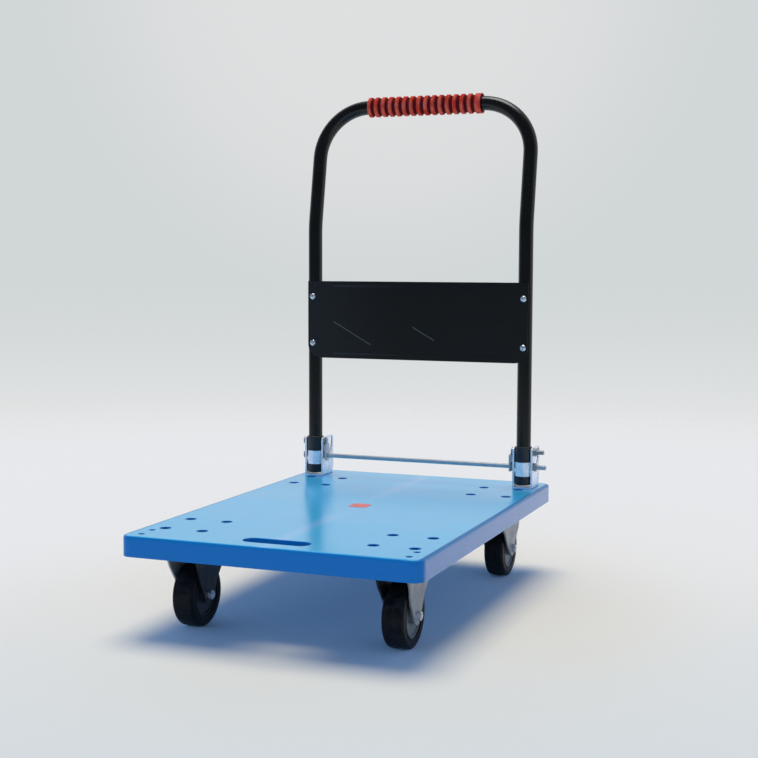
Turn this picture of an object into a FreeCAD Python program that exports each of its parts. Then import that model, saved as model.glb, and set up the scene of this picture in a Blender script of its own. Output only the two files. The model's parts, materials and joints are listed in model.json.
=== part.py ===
import FreeCAD
import Part
import Sketcher
import math
import os
import re

# A folding platform cart: a moulded deck, a tubular handle that folds down over it on two hinge brackets,
# two fixed casters under the free end and two swivel casters under the handle end.
# Millimetres. +X is to the right, +Y points to the handle end and +Z up.
# The origin is on the floor, under the middle of the deck.

V = FreeCAD.Vector

# Every driving size: its cell's alias, its value and what it measures.
SIZES = [
    ("deck_length", 720, "deck, free edge to handle edge"),
    ("deck_width", 480, "deck, side to side"),
    ("deck_top", 158, "floor to the loading surface"),
    ("deck_height", 32, "height of the deck's skirt"),
    ("deck_corner", 18, "radius of the deck's corners in plan"),
    ("deck_edge", 5, "rounding of the edge round the top"),
    ("deck_skin", 4.5, "thickness of the top sheet"),
    ("deck_wall", 4, "thickness of the skirt"),
    ("rib_wall", 3, "thickness of the ribs under the deck"),
    ("rib_drop", 18, "height of the ribs under the top sheet"),
    ("long_ribs", 5, "ribs that run along the deck"),
    ("long_rib_pitch", 78, "from one long rib to the next"),
    ("cross_ribs", 7, "ribs that run across the deck"),
    ("cross_rib_pitch", 88, "from one cross rib to the next"),
    ("grip_slot_width", 108, "hand slot, end to end"),
    ("grip_slot_depth", 32, "hand slot, front to rear"),
    ("grip_slot_inset", 44, "free edge to the middle of the hand slot"),
    ("slot_rim", 3.5, "wall round the hand slot"),
    ("slot_rim_drop", 20, "height of the wall round the hand slot"),
    ("stake_hole", 5.25, "radius of the stake holes at the free corners"),
    ("stake_side", 26, "side of the deck to the stake holes"),
    ("stake_inset", 22, "free edge to the first stake hole"),
    ("stake_pitch", 32, "from one stake hole to the other"),
    ("caster_side", 68.5, "side of the deck to the middle of a caster"),
    ("front_inset", 115, "free edge to the middle of a front caster"),
    ("rear_inset", 135, "handle edge to the middle of a rear caster"),
    ("bolt_pitch_x", 64, "caster bolts, side to side"),
    ("bolt_pitch_y", 80, "caster bolts, front to rear"),
    ("recess", 9, "radius of the recess over each caster bolt"),
    ("recess_floor", 10, "plastic left under a bolt's head"),
    ("boss_wall", 3.5, "wall of the bosses round the recesses"),
    ("plate_width", 82, "caster plate, side to side"),
    ("plate_length", 105, "caster plate, front to rear"),
    ("plate", 3, "thickness of the caster plates and forks"),
    ("plate_corner", 8, "corner radius of the caster plates"),
    ("plate_rise", 2, "how far the caster plate sits inside the skirt"),
    ("wheel", 50, "radius of the wheels"),
    ("tread", 35, "width of the tyres"),
    ("tread_round", 6, "rounding of the tyre's shoulders"),
    ("tyre_bore", 34, "radius of the tyre's seat on the hub"),
    ("rim", 31, "width of the hub at its rim"),
    ("hub_length", 38, "width of the hub at its axle"),
    ("bearing_gap", 0.1, "running clearance of the wheel and the kingpin"),
    ("end_gap", 0.3, "clearance at each end of the hub"),
    ("bush", 6, "radius of the axle bush"),
    ("axle", 4, "radius of the axle bolts"),
    ("fork_top", 51.6, "fork, width over the legs at the top"),
    ("fork_bend", 27, "crown of the fork down to the bend of the legs"),
    ("fork_joggle", 24, "height over which the legs come in to the hub"),
    ("fork_shoulder", 12, "straight front and rear edges of the legs"),
    ("fork_reach", 98, "front fork, length of the legs at the top"),
    ("leg_end", 14, "radius of the leg's end round the axle"),
    ("trail", 42, "kingpin to axle, behind it"),
    ("swivel_drop", 14, "top plate's underside to the swivel fork's crown"),
    ("swivel_front", 32, "crown in front of the kingpin"),
    ("swivel_rear", 74, "crown behind the kingpin"),
    ("race", 24, "outer radius of the ball race"),
    ("race_wall", 8, "ball race, outer less inner radius"),
    ("race_dish", 4, "height of the dish above and below the race"),
    ("kingpin", 6, "radius of the kingpin"),
    ("kingpin_head", 10, "radius of the kingpin's heads"),
    ("head_under", 4, "height of the kingpin's head under the fork"),
    ("head_over", 2.5, "height of the kingpin's head on the top plate"),
    ("head_bevel", 2, "bevel of the kingpin's heads"),
    ("tube", 13, "radius of the handle's tube"),
    ("tube_wall", 1.5, "wall of the handle's tube"),
    ("handle_side", 34, "side of the deck to each leg of the handle"),
    ("handle_inset", 70, "handle edge of the deck to the handle's legs"),
    ("handle_foot", 6, "deck to the foot of the handle"),
    ("bend_rise", 475, "deck to the bend of the handle's legs"),
    ("handle_rise", 698, "deck to the axis of the top bar"),
    ("handle_lean", 40, "how far the top bar stands behind the legs"),
    ("lean_round", 160, "radius of the bend of the legs"),
    ("handle_corner", 95, "radius of the upper corners of the handle"),
    ("grip_length", 220, "hand grip, end to end"),
    ("grip_rib", 18.4, "radius of the grip over its ribs"),
    ("grip_groove", 15.6, "radius of the grip in its grooves"),
    ("grip_ribs", 15, "ribs along the grip"),
    ("grip_collar", 5, "plain collar at each end of the grip"),
    ("panel_over", 9, "legs of the handle to the panel's sides"),
    ("panel_foot", 227, "deck to the lower edge of the panel"),
    ("panel_height", 145, "panel, lower edge to upper edge"),
    ("panel_sheet", 1.2, "thickness of the panel"),
    ("panel_corner", 26, "radius of the panel's lower corners"),
    ("panel_bead", 1, "height of the panel's pressed beads"),
    ("bead_width", 3, "width of the panel's long beads"),
    ("bead_edge", 9, "long edges of the panel to the middle of its beads"),
    ("bead_inset", 43, "legs of the handle to the ends of the long beads"),
    ("brace_width", 2.6, "width of the slanting braces"),
    ("brace_fall", 0.56, "fall of the braces for each millimetre across"),
    ("screw_foot", 28, "lower edge of the panel to the lower screws"),
    ("screw_rise", 88, "lower screws to the upper screws"),
    ("screw_head", 5.5, "radius of the panel screws' heads"),
    ("screw_shank", 2, "radius of the panel screws' shanks"),
    ("screw_dome", 2.6, "height of the panel screws' heads"),
    ("screw_bite", 4, "panel screws, length beyond the tube's wall"),
    ("cross_length", 4.6, "cross recess of the panel screws, end to end"),
    ("cross_width", 1, "cross recess of the panel screws, width of a slot"),
    ("cross_depth", 1.6, "cross recess of the panel screws, depth"),
    ("pivot_rise", 66, "deck to the axis of the fold"),
    ("pivot_pin", 4, "radius of the pivot bolts"),
    ("rod_below", 27.5, "axis of the fold down to the release rod"),
    ("rod", 4, "radius of the release rod"),
    ("rod_bevel", 0.8, "bevel of the release rod's ends"),
    ("rod_travel", 6, "how far the release rod is pressed down"),
    ("rod_gap", 0.3, "clearance round the release rod"),
    ("cheek_gap", 15.5, "middle of a leg to the inside of each cheek"),
    ("cheek", 3, "thickness of the hinge brackets"),
    ("cheek_front", 8.5, "legs to the front edge of a cheek"),
    ("cheek_rear", 42, "legs to the rear edge of a cheek"),
    ("cheek_rise", 74, "deck to the top of a cheek"),
    ("cheek_round", 6, "rounding of the cheeks' corners"),
    ("cheek_slope", 6, "how far the cheeks' rear edges slope in at the foot"),
    ("cheek_heel", 14, "deck to the top of the slope at the cheeks' rear foot"),
    ("bracket_seat", 1, "depth of the seats that the hinge brackets stand in"),
    ("seat_side", 0.5, "clearance round the brackets in their seats"),
    ("collar_side", 15.2, "middle of a leg to the side of its collar"),
    ("collar_height", 28, "height of the collars"),
    ("collar_round", 1.6, "rounding of the collars"),
    ("sleeve_wall", 1.8, "wall of the slot sleeves"),
    ("sleeve_height", 25.5, "height of the slot sleeves"),
    ("plug_height", 16, "height of the end plugs"),
    ("plug_floor", 3, "thickness of the end plugs' floor"),
    ("spring_seat", 6, "top of the end plugs down to the springs"),
    ("spring_wire", 1.6, "thickness of the springs' wire"),
    ("spring_radius", 7.5, "radius of the springs"),
    ("spring_turns", 4, "turns of each spring"),
    ("guide_width", 17, "rod plates, front to rear"),
    ("guide_above", 23, "rod to the top of its plates"),
    ("guide_below", 9.5, "rod to the foot of its plates"),
    ("thread_out", 23.5, "release rod beyond the right-hand cheek"),
    ("bolt_out", 19, "right pivot bolt beyond its outer cheek"),
    ("nut_flats", 13, "across the flats of the M8 nuts and heads"),
    ("nut_height", 5.5, "height of the M8 nuts and heads"),
    ("thin_nut", 3.6, "height of the thin nuts"),
    ("small_flats", 10, "across the flats of the M6 nuts and heads"),
    ("small_height", 4.5, "height of the M6 nuts and heads"),
    ("small_bolt", 3, "radius of the M6 bolts"),
    ("hole_gap", 0.2, "clearance of bolts in their holes"),
    ("thread_show", 1.5, "thread beyond a nut"),
    ("base_screw_side", 9, "bracket screws, half their spacing across"),
    ("base_screw_front", 9, "legs to the front bracket screws"),
    ("base_screw_rear", 31, "legs to the rear bracket screws"),
    ("base_boss", 7.5, "radius of the bosses round the bracket screws"),
    ("base_boss_drop", 24, "deck to the foot of those bosses"),
    ("seat_gap", 0.1, "clearance between pieces that are fixed together"),
]

# Places and sizes that follow from the driving ones.
DERIVED = {
    "handle_half": "(deck_width / 2 - handle_side)",
    "panel_half": "(handle_half + panel_over)",
    "deck_bottom": "(deck_top - deck_height)",
    "sheet_under": "(deck_top - deck_skin)",
    "deck_front": "(-deck_length / 2)",
    "deck_rear": "(deck_length / 2)",
    "slot_y": "(deck_front + grip_slot_inset)",
    "seat": "(deck_bottom + plate_rise)",
    "plate_under": "(seat - plate)",
    "caster_x": "(deck_width / 2 - caster_side)",
    "front_y": "(deck_front + front_inset)",
    "rear_y": "(deck_rear - rear_inset)",
    "fork_inside": "(hub_length / 2 + end_gap)",
    "fork_outside": "(fork_inside + plate)",
    "swivel_crown": "(plate_under - swivel_drop)",
    "leg_y": "(deck_rear - handle_inset)",
    "foot_z": "(deck_top + handle_foot)",
    "bar_y": "(leg_y + handle_lean)",
    "bar_z": "(deck_top + handle_rise)",
    "bend_z": "(deck_top + bend_rise)",
    "pivot_z": "(deck_top + pivot_rise)",
    "rod_z": "(pivot_z - rod_below)",
    "panel_z": "(deck_top + panel_foot)",
    "panel_y": "(leg_y - tube - seat_gap)",
    "plug_top": "(foot_z + plug_height)",
    "sleeve_foot": "(plug_top + seat_gap)",
    "collar_foot": "(sleeve_foot + sleeve_height + seat_gap)",
    "tube_end": "(foot_z + plug_floor)",
    "tube_bore": "(tube - tube_wall)",
    "cheek_inner": "(handle_half - cheek_gap)",
    "cheek_outer": "(handle_half + cheek_gap)",
    "bracket_foot": "(deck_top - bracket_seat)",
    "base_top": "(bracket_foot + cheek)",
    "slot_inner": "(rod_below - rod - rod_gap)",
    "slot_outer": "(rod_below + rod_travel + rod + rod_gap)",
    "slot_side": "(rod + rod_gap)",
}

doc = FreeCAD.newDocument("platform_cart")
sheet = doc.addObject("Spreadsheet::Sheet", "sizes")
for row, (alias, size, note) in enumerate(SIZES, 1):
    sheet.set(f"A{row}", note)
    sheet.set(f"B{row}", str(size))
    sheet.setAlias(f"B{row}", alias)
doc.recompute()
ALIASES = {alias for alias, size, note in SIZES}
NODES = []


def linked(text):
    """An expression on the sheet's cells: derived names are written out and aliases get the sheet's name."""

    def write(match):
        word = match[0]
        if word in DERIVED:
            return linked(DERIVED[word])
        return "sizes." + word if word in ALIASES else word

    return re.sub(r"[a-z_][a-z_0-9]*", write, str(text))


def value(text):
    """The number that an expression gives now."""
    return float(sheet.evalExpression(linked(text)))


def bind(item, name, text):
    """Ties one property to the sheet."""
    item.setExpression(name, linked(text))


def node(item, label):
    """Marks an object as a finished sub-part."""
    item.Label = label
    NODES.append(item)
    return item


def place(item, x="0", y="0", z="0"):
    """Puts an object at a point given by expressions."""
    for letter, text in zip("xyz", (x, y, z)):
        bind(item, "Placement.Base." + letter, text)


def spot(x="0", y="0", z="0"):
    """A point given by expressions, as a vector."""
    return V(value(x), value(y), value(z))


# ---------------------------------------------------------------- sketches and features


def new_body(name):
    return doc.addObject("PartDesign::Body", name)


def add_sketch(body, name, role, offset="0"):
    """A sketch on one of the body's own origin planes, moved along the plane's normal."""
    planes = [item for item in body.Origin.OriginFeatures if item.Role == role]
    sketch = body.newObject("Sketcher::SketchObject", name)
    sketch.AttachmentSupport = (planes[0], [""])
    sketch.MapMode = "FlatFace"
    bind(sketch, "AttachmentOffset.Base.z", offset)
    return sketch


def fix(sketch, kind, where, text):
    """One constraint whose value comes from the sheet."""
    index = sketch.addConstraint(Sketcher.Constraint(kind, *where, value(text)))
    name = f"size{index}"
    sketch.renameConstraint(index, name)
    sketch.setExpression("Constraints." + name, linked(text))


def fix_point(sketch, geometry, end, x, y):
    fix(sketch, "DistanceX", (-1, 1, geometry, end), x)
    fix(sketch, "DistanceY", (-1, 1, geometry, end), y)


def outline(sketch, points):
    """A closed polygon with a corner at each pair of expressions."""
    first = len(sketch.Geometry)
    corners = [V(value(x), value(y), 0) for x, y in points]
    count = len(corners)
    for i, corner in enumerate(corners):
        sketch.addGeometry(Part.LineSegment(corner, corners[(i + 1) % count]))
    for i in range(count):
        sketch.addConstraint(Sketcher.Constraint("Coincident", first + i, 2, first + (i + 1) % count, 1))
    for i, (x, y) in enumerate(points):
        fix_point(sketch, first + i, 1, x, y)


def block(sketch, low_x, low_y, high_x, high_y):
    outline(sketch, [(low_x, low_y), (high_x, low_y), (high_x, high_y), (low_x, high_y)])


def circle(sketch, x, y, radius):
    index = sketch.addGeometry(Part.Circle(V(value(x), value(y), 0), V(0, 0, 1), value(radius)))
    fix_point(sketch, index, 3, x, y)
    fix(sketch, "Radius", (index,), radius)


def long_hole(sketch, x, y, half_x, half_y):
    """A slot with round ends, longer along x."""
    cx, cy, reach, radius = value(x), value(y), value(half_x) - value(half_y), value(half_y)
    right = sketch.addGeometry(
        Part.ArcOfCircle(Part.Circle(V(cx + reach, cy, 0), V(0, 0, 1), radius), -math.pi / 2, math.pi / 2)
    )
    left = sketch.addGeometry(
        Part.ArcOfCircle(Part.Circle(V(cx - reach, cy, 0), V(0, 0, 1), radius), math.pi / 2, 3 * math.pi / 2)
    )
    top = sketch.addGeometry(Part.LineSegment(V(cx + reach, cy + radius, 0), V(cx - reach, cy + radius, 0)))
    foot = sketch.addGeometry(Part.LineSegment(V(cx - reach, cy - radius, 0), V(cx + reach, cy - radius, 0)))
    for ends in ((right, 2, top, 1), (top, 2, left, 1), (left, 2, foot, 1), (foot, 2, right, 1)):
        sketch.addConstraint(Sketcher.Constraint("Tangent", *ends))
    fix_point(sketch, right, 3, f"{x} + {half_x} - {half_y}", y)
    fix_point(sketch, left, 3, f"{x} - {half_x} + {half_y}", y)
    fix(sketch, "Radius", (right,), half_y)
    sketch.addConstraint(Sketcher.Constraint("Equal", right, left))


def pad(body, sketch, length, down=False, both=False):
    """Adds the sketch's prism; both spreads it evenly to the two sides."""
    feature = body.newObject("PartDesign::Pad", sketch.Name + "_pad")
    feature.Profile = sketch
    feature.Reversed = down
    feature.Midplane = both
    bind(feature, "Length", length)
    doc.recompute()
    return feature


def cut(body, sketch, length=None, up=False):
    """Cuts the sketch's prism away: to a length, or right through both ways."""
    before = body.Shape.Volume
    feature = body.newObject("PartDesign::Pocket", sketch.Name + "_cut")
    feature.Profile = sketch
    feature.Reversed = up
    if length is None:
        feature.Type = "ThroughAll"
        feature.Midplane = True
    else:
        bind(feature, "Length", length)
    doc.recompute()
    if body.Shape.Volume > before - 1e-3:
        raise RuntimeError(f"{sketch.Name} cuts nothing")
    return feature


def turn(body, sketch, axis):
    """Revolves the sketch about its horizontal (H) or vertical (V) axis."""
    feature = body.newObject("PartDesign::Revolution", sketch.Name + "_turn")
    feature.Profile = sketch
    feature.ReferenceAxis = (sketch, [axis + "_Axis"])
    feature.Angle = 360
    doc.recompute()
    return feature


def round_edges(body, base, radius, chosen):
    """Rounds the edges of the last feature that the test picks out."""
    names = [f"Edge{i}" for i, edge in enumerate(base.Shape.Edges, 1) if chosen(edge)]
    if not names:
        raise RuntimeError(f"no edge to round on {base.Name}")
    feature = body.newObject("PartDesign::Fillet", base.Name + "_round")
    feature.Base = (base, names)
    bind(feature, "Radius", radius)
    doc.recompute()
    return feature


def along(edge, direction):
    """Whether an edge is straight and runs along a direction."""
    if edge.Curve.TypeId != "Part::GeomLine":
        return False
    return abs(edge.tangentAt(edge.FirstParameter).dot(direction)) > 0.999


def level(edge, height):
    """Whether an edge lies flat at a height."""
    box = edge.BoundBox
    return abs(box.ZMin - height) < 1e-4 and abs(box.ZMax - height) < 1e-4


def corners_of():
    """The four bolt places of a caster plate, about its middle."""
    return [(f"{i} * bolt_pitch_x / 2", f"{j} * bolt_pitch_y / 2") for i in (-1, 1) for j in (-1, 1)]


SIDES = [("left", -1), ("right", 1)]
CASTERS = [
    (f"{end}_{side}", f"{sign} * caster_x", f"{end}_y") for end in ("front", "rear") for side, sign in SIDES
]


# ---------------------------------------------------------------- deck


def make_deck():
    body = new_body("deck")
    plan = add_sketch(body, "deck_plan", "XY_Plane", "deck_bottom")
    block(plan, "-deck_width / 2", "deck_front", "deck_width / 2", "deck_rear")
    slab = pad(body, plan, "deck_height")
    rounded = round_edges(body, slab, "deck_corner", lambda edge: along(edge, V(0, 0, 1)))
    round_edges(body, rounded, "deck_edge", lambda edge: level(edge, value("deck_top")))

    hollow = add_sketch(body, "deck_hollow", "XY_Plane", "deck_bottom")
    side, end = "(deck_width / 2 - deck_wall)", "(deck_length / 2 - deck_wall)"
    near_side, near_end = "(deck_width / 2 - deck_corner)", "(deck_length / 2 - deck_corner)"
    quarter = [(near_side, end), (side, near_end)]
    points = quarter + [(x, f"-{y}") for x, y in reversed(quarter)]
    points += [(f"-{x}", f"-{y}") for x, y in quarter] + [(f"-{x}", y) for x, y in reversed(quarter)]
    outline(hollow, points)
    cut(body, hollow, "deck_height - deck_skin", up=True)

    long_rib = add_sketch(body, "long_rib", "XY_Plane", "sheet_under")
    start = "(long_ribs - 1) * long_rib_pitch / 2"
    half_length = "(deck_length / 2 - deck_wall / 2)"
    block(long_rib, f"-{start} - rib_wall / 2", f"-{half_length}", f"-{start} + rib_wall / 2", half_length)
    repeat(body, long_rib, pad(body, long_rib, "rib_drop", down=True), "H", "long_ribs", "long_rib_pitch")

    cross_rib = add_sketch(body, "cross_rib", "XY_Plane", "sheet_under")
    start = "(cross_ribs - 1) * cross_rib_pitch / 2"
    half_width = "(deck_width / 2 - deck_wall / 2)"
    block(cross_rib, f"-{half_width}", f"-{start} - rib_wall / 2", half_width, f"-{start} + rib_wall / 2")
    repeat(body, cross_rib, pad(body, cross_rib, "rib_drop", down=True), "V", "cross_ribs", "cross_rib_pitch")

    places = []
    for name, x, y in CASTERS:
        places += [(f"{x} + {dx}", f"{y} + {dy}") for dx, dy in corners_of()]
    bosses = add_sketch(body, "caster_bosses", "XY_Plane", "seat")
    for x, y in places:
        circle(bosses, x, y, "recess + boss_wall")
    pad(body, bosses, "sheet_under - seat")

    screws = base_screw_places()
    studs = add_sketch(body, "bracket_bosses", "XY_Plane", "deck_top - base_boss_drop")
    for x, y in screws:
        circle(studs, x, y, "base_boss")
    pad(body, studs, "base_boss_drop - deck_skin")

    rim = add_sketch(body, "slot_rim", "XY_Plane", "sheet_under")
    long_hole(rim, "0", "slot_y", "(grip_slot_width / 2 + slot_rim)", "(grip_slot_depth / 2 + slot_rim)")
    pad(body, rim, "slot_rim_drop", down=True)
    hand = add_sketch(body, "hand_slot", "XY_Plane")
    long_hole(hand, "0", "slot_y", "grip_slot_width / 2", "grip_slot_depth / 2")
    cut(body, hand)

    stakes = add_sketch(body, "stake_holes", "XY_Plane")
    for side, sign in SIDES:
        for step in (0, 1):
            circle(
                stakes,
                f"{sign} * (deck_width / 2 - stake_side)",
                f"deck_front + stake_inset + {step} * stake_pitch",
                "stake_hole",
            )
    cut(body, stakes)

    seats = add_sketch(body, "bracket_seats", "XY_Plane", "deck_top")
    out_x, in_x = "(cheek_gap + cheek + seat_side)", "(leg_y - cheek_front - seat_side)"
    for side, sign in SIDES:
        middle = f"{sign} * handle_half"
        block(seats, f"{middle} - {out_x}", in_x, f"{middle} + {out_x}", "leg_y + cheek_rear")
    cut(body, seats, "bracket_seat")

    recesses = add_sketch(body, "bolt_recesses", "XY_Plane", "deck_top")
    holes = add_sketch(body, "bolt_holes", "XY_Plane")
    for x, y in places:
        circle(recesses, x, y, "recess")
        circle(holes, x, y, "small_bolt + hole_gap")
    for x, y in screws:
        circle(holes, x, y, "small_bolt + hole_gap")
    cut(body, recesses, "deck_top - seat - recess_floor")
    cut(body, holes)
    return node(body, "deck")


def repeat(body, sketch, feature, axis, count, pitch):
    """Repeats a feature at even steps along one axis of its sketch."""
    pattern = body.newObject("PartDesign::LinearPattern", sketch.Name + "_row")
    pattern.Originals = [feature]
    pattern.Direction = (sketch, [axis + "_Axis"])
    bind(pattern, "Length", f"({count} - 1) * {pitch}")
    bind(pattern, "Occurrences", count)
    body.Tip = pattern
    doc.recompute()


def base_screw_places():
    """The four screws of each hinge bracket."""
    places = []
    for side, sign in SIDES:
        for across in (-1, 1):
            for step in ("base_screw_front", "base_screw_rear"):
                places.append((f"{sign} * handle_half + {across} * base_screw_side", f"leg_y + {step}"))
    return places


# ---------------------------------------------------------------- casters


def add_fork_legs(body, name, top, front, rear, trail):
    """A channel of sheet with its legs joggled in to the hub, trimmed to the legs' side outline."""
    section = add_sketch(body, name + "_section", "XZ_Plane")
    outer, inner = "(fork_top / 2)", "(fork_top / 2 - plate)"
    knee = f"({top} - fork_bend)"
    ankle, foot = f"({knee} - fork_joggle)", "(wheel - leg_end - plate)"
    right = [
        (outer, top),
        (outer, knee),
        ("fork_outside", ankle),
        ("fork_outside", foot),
        ("fork_inside", foot),
        ("fork_inside", ankle),
        (inner, knee),
        (inner, f"{top} - plate"),
    ]
    left = [(f"-{x}", z) for x, z in reversed(right)]
    outline(section, right + left)
    reach = f"2 * ({front} + {rear} + {trail})"
    channel = pad(body, section, reach, both=True)
    edge_x = value("fork_top / 2")
    round_edges(
        body,
        channel,
        "plate",
        lambda edge: along(edge, V(0, 1, 0))
        and level(edge, value(top))
        and abs(abs(edge.CenterOfMass.x) - edge_x) < 1e-4,
    )
    side = add_sketch(body, name + "_side", "YZ_Plane")
    shoulder = f"({top} - fork_shoulder)"
    block(side, f"-{reach}", "0", reach, f"{top} + 2 * plate")
    leg_outline(side, top, shoulder, front, rear, trail)
    cut(body, side)
    axle_hole = add_sketch(body, name + "_axle_hole", "YZ_Plane")
    circle(axle_hole, trail, "wheel", "axle + hole_gap")
    cut(body, axle_hole)


def leg_outline(sketch, top, shoulder, front, rear, trail):
    """The legs' side view: straight shoulders, then tangents to the round end about the axle."""
    centre = V(value(trail), value("wheel"), 0)
    radius = value("leg_end")
    a = V(value(f"-({front})"), value(shoulder), 0)
    b = V(value(rear), value(shoulder), 0)
    start, end = touch(a, centre, radius, -1), touch(b, centre, radius, 1)
    first = math.atan2(start.y - centre.y, start.x - centre.x)
    last = math.atan2(end.y - centre.y, end.x - centre.x)
    last_turn = last if last > first else last + 2 * math.pi
    arc = sketch.addGeometry(Part.ArcOfCircle(Part.Circle(centre, V(0, 0, 1), radius), first, last_turn))
    top_z = value(f"{top} + plate")
    corners = [end, b, V(b.x, top_z, 0), V(a.x, top_z, 0), a, start]
    lines = [
        sketch.addGeometry(Part.LineSegment(corners[i], corners[i + 1])) for i in range(len(corners) - 1)
    ]
    for i in range(len(lines) - 1):
        sketch.addConstraint(Sketcher.Constraint("Coincident", lines[i], 2, lines[i + 1], 1))
    sketch.addConstraint(Sketcher.Constraint("Tangent", arc, 2, lines[0], 1))
    sketch.addConstraint(Sketcher.Constraint("Tangent", lines[-1], 2, arc, 1))
    fix_point(sketch, arc, 3, trail, "wheel")
    fix(sketch, "Radius", (arc,), "leg_end")
    fix_point(sketch, lines[0], 2, rear, shoulder)
    fix_point(sketch, lines[1], 2, rear, f"{top} + plate")
    fix_point(sketch, lines[2], 2, f"-({front})", f"{top} + plate")
    fix_point(sketch, lines[3], 2, f"-({front})", shoulder)


def touch(point, centre, radius, turn_sign):
    """Where a tangent from a point meets a circle, on the lower side."""
    gap = point - centre
    away = math.atan2(gap.y, gap.x)
    swing = math.acos(radius / gap.Length)
    angle = away - turn_sign * swing
    return centre + V(math.cos(angle), math.sin(angle), 0) * radius


def add_caster_plate(body, name):
    """The top plate with its four bolt holes."""
    plan = add_sketch(body, name + "_plate", "XY_Plane", "plate_under")
    block(plan, "-plate_width / 2", "-plate_length / 2", "plate_width / 2", "plate_length / 2")
    feature = pad(body, plan, "plate")
    half = value("plate_width / 2")
    round_edges(
        body,
        feature,
        "plate_corner",
        lambda edge: along(edge, V(0, 0, 1)) and abs(abs(edge.CenterOfMass.x) - half) < 1e-4,
    )
    holes = add_sketch(body, name + "_holes", "XY_Plane")
    for x, y in corners_of():
        circle(holes, x, y, "small_bolt + hole_gap")
    cut(body, holes)


def make_rigid_fork(name, x, y):
    body = new_body(name + "_fork")
    add_fork_legs(body, name, "plate_under", "fork_reach / 2", "fork_reach / 2", "0")
    add_caster_plate(body, name)
    place(body, x, y)
    return node(body, name + "_fork")


def make_swivel_fork(name, x, y):
    body = new_body(name + "_fork")
    add_fork_legs(body, name, "swivel_crown", "swivel_front", "swivel_rear", "trail")
    dish = add_sketch(body, name + "_dish", "XY_Plane", "swivel_crown")
    circle(dish, "0", "0", "race")
    pad(body, dish, "race_dish")
    bore = add_sketch(body, name + "_bore", "XY_Plane", "swivel_crown + race_dish")
    circle(bore, "0", "0", "kingpin + bearing_gap")
    cut(body, bore, "race_dish + 2 * plate")
    place(body, x, y)
    return node(body, name + "_fork")


def make_swivel_plate(name, x, y):
    body = new_body(name + "_top_plate")
    add_caster_plate(body, name)
    dish = add_sketch(body, name + "_cup", "XY_Plane", "plate_under")
    circle(dish, "0", "0", "race")
    pad(body, dish, "race_dish", down=True)
    bore = add_sketch(body, name + "_pin_hole", "XY_Plane", "plate_under - race_dish")
    circle(bore, "0", "0", "kingpin + seat_gap")
    cut(body, bore, "race_dish + 2 * plate", up=True)
    place(body, x, y)
    return node(body, name + "_top_plate")


def make_ball_race(name, x, y):
    """One closed ring in place of the balls between the two dishes."""
    body = new_body(name + "_ball_race")
    section = add_sketch(body, name + "_race", "XZ_Plane")
    block(
        section,
        "race - race_wall",
        "swivel_crown + race_dish + end_gap",
        "race",
        "plate_under - race_dish",
    )
    ring = turn(body, section, "V")
    round_edges(body, ring, "race_wall / 4", lambda edge: abs(edge.BoundBox.XMax - value("race")) < 0.01)
    place(body, x, y)
    return node(body, name + "_ball_race")


def make_kingpin(name, x, y):
    """A riveted pin: one head on the top plate, one under the fork's crown."""
    body = new_body(name + "_kingpin")
    section = add_sketch(body, name + "_rivet", "XZ_Plane")
    low = "(swivel_crown - plate - end_gap)"
    outline(
        section,
        [
            ("0", f"{low} - head_under"),
            ("kingpin_head - head_bevel", f"{low} - head_under"),
            ("kingpin_head", f"{low} - head_bevel"),
            ("kingpin_head", low),
            ("kingpin", low),
            ("kingpin", "seat"),
            ("kingpin_head", "seat"),
            ("kingpin_head", "seat + head_over / 2"),
            ("kingpin_head - head_bevel", "seat + head_over"),
            ("0", "seat + head_over"),
        ],
    )
    turn(body, section, "V")
    place(body, x, y)
    return node(body, name + "_kingpin")


def make_tyre(name, x, y):
    """A crowned tread with rounded shoulders and a groove round each sidewall."""
    body = new_body(name + "_tyre")
    section = add_sketch(body, name + "_tread", "XZ_Plane")
    block(section, "-tread / 2", "tyre_bore", "tread / 2", "wheel")
    ring = turn(body, section, "H")
    outer = value("wheel")
    round_edges(body, ring, "tread_round", lambda edge: abs(edge.BoundBox.ZMax - outer) < 1e-3)
    lines = add_sketch(body, name + "_sidewall", "XZ_Plane")
    for sign in ("-", ""):
        outline(
            lines,
            [
                (f"{sign}(tread / 2)", "tyre_bore + 3"),
                (f"{sign}(tread / 2 - 0.8)", "tyre_bore + 3.4"),
                (f"{sign}(tread / 2 - 0.8)", "tyre_bore + 4.6"),
                (f"{sign}(tread / 2)", "tyre_bore + 5"),
            ],
        )
    groove = body.newObject("PartDesign::Groove", name + "_sidewall_groove")
    groove.Profile = lines
    groove.ReferenceAxis = (lines, ["H_Axis"])
    groove.Angle = 360
    doc.recompute()
    place(body, x, y, "wheel")
    return node(body, name + "_tyre")


def make_hub(name, x, y):
    """A moulded hub: barrel, stepped web and rim, each a ring on both faces."""
    body = new_body(name + "_hub")
    section = add_sketch(body, name + "_rings", "XZ_Plane")
    bore = "(bush + bearing_gap)"
    right = [
        ("hub_length / 2", bore),
        ("hub_length / 2", f"{bore} + 5"),
        ("hub_length / 2 - 5.5", f"{bore} + 6.5"),
        ("hub_length / 2 - 5.5", "tyre_bore - 12"),
        ("rim / 2 - 2", "tyre_bore - 11"),
        ("rim / 2 - 2", "tyre_bore - 5"),
        ("rim / 2", "tyre_bore - 4"),
        ("rim / 2", "tyre_bore"),
    ]
    left = [(f"-({x_text})", r_text) for x_text, r_text in reversed(right)]
    outline(section, right + left)
    turn(body, section, "H")
    place(body, x, y, "wheel")
    return node(body, name + "_hub")


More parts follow.
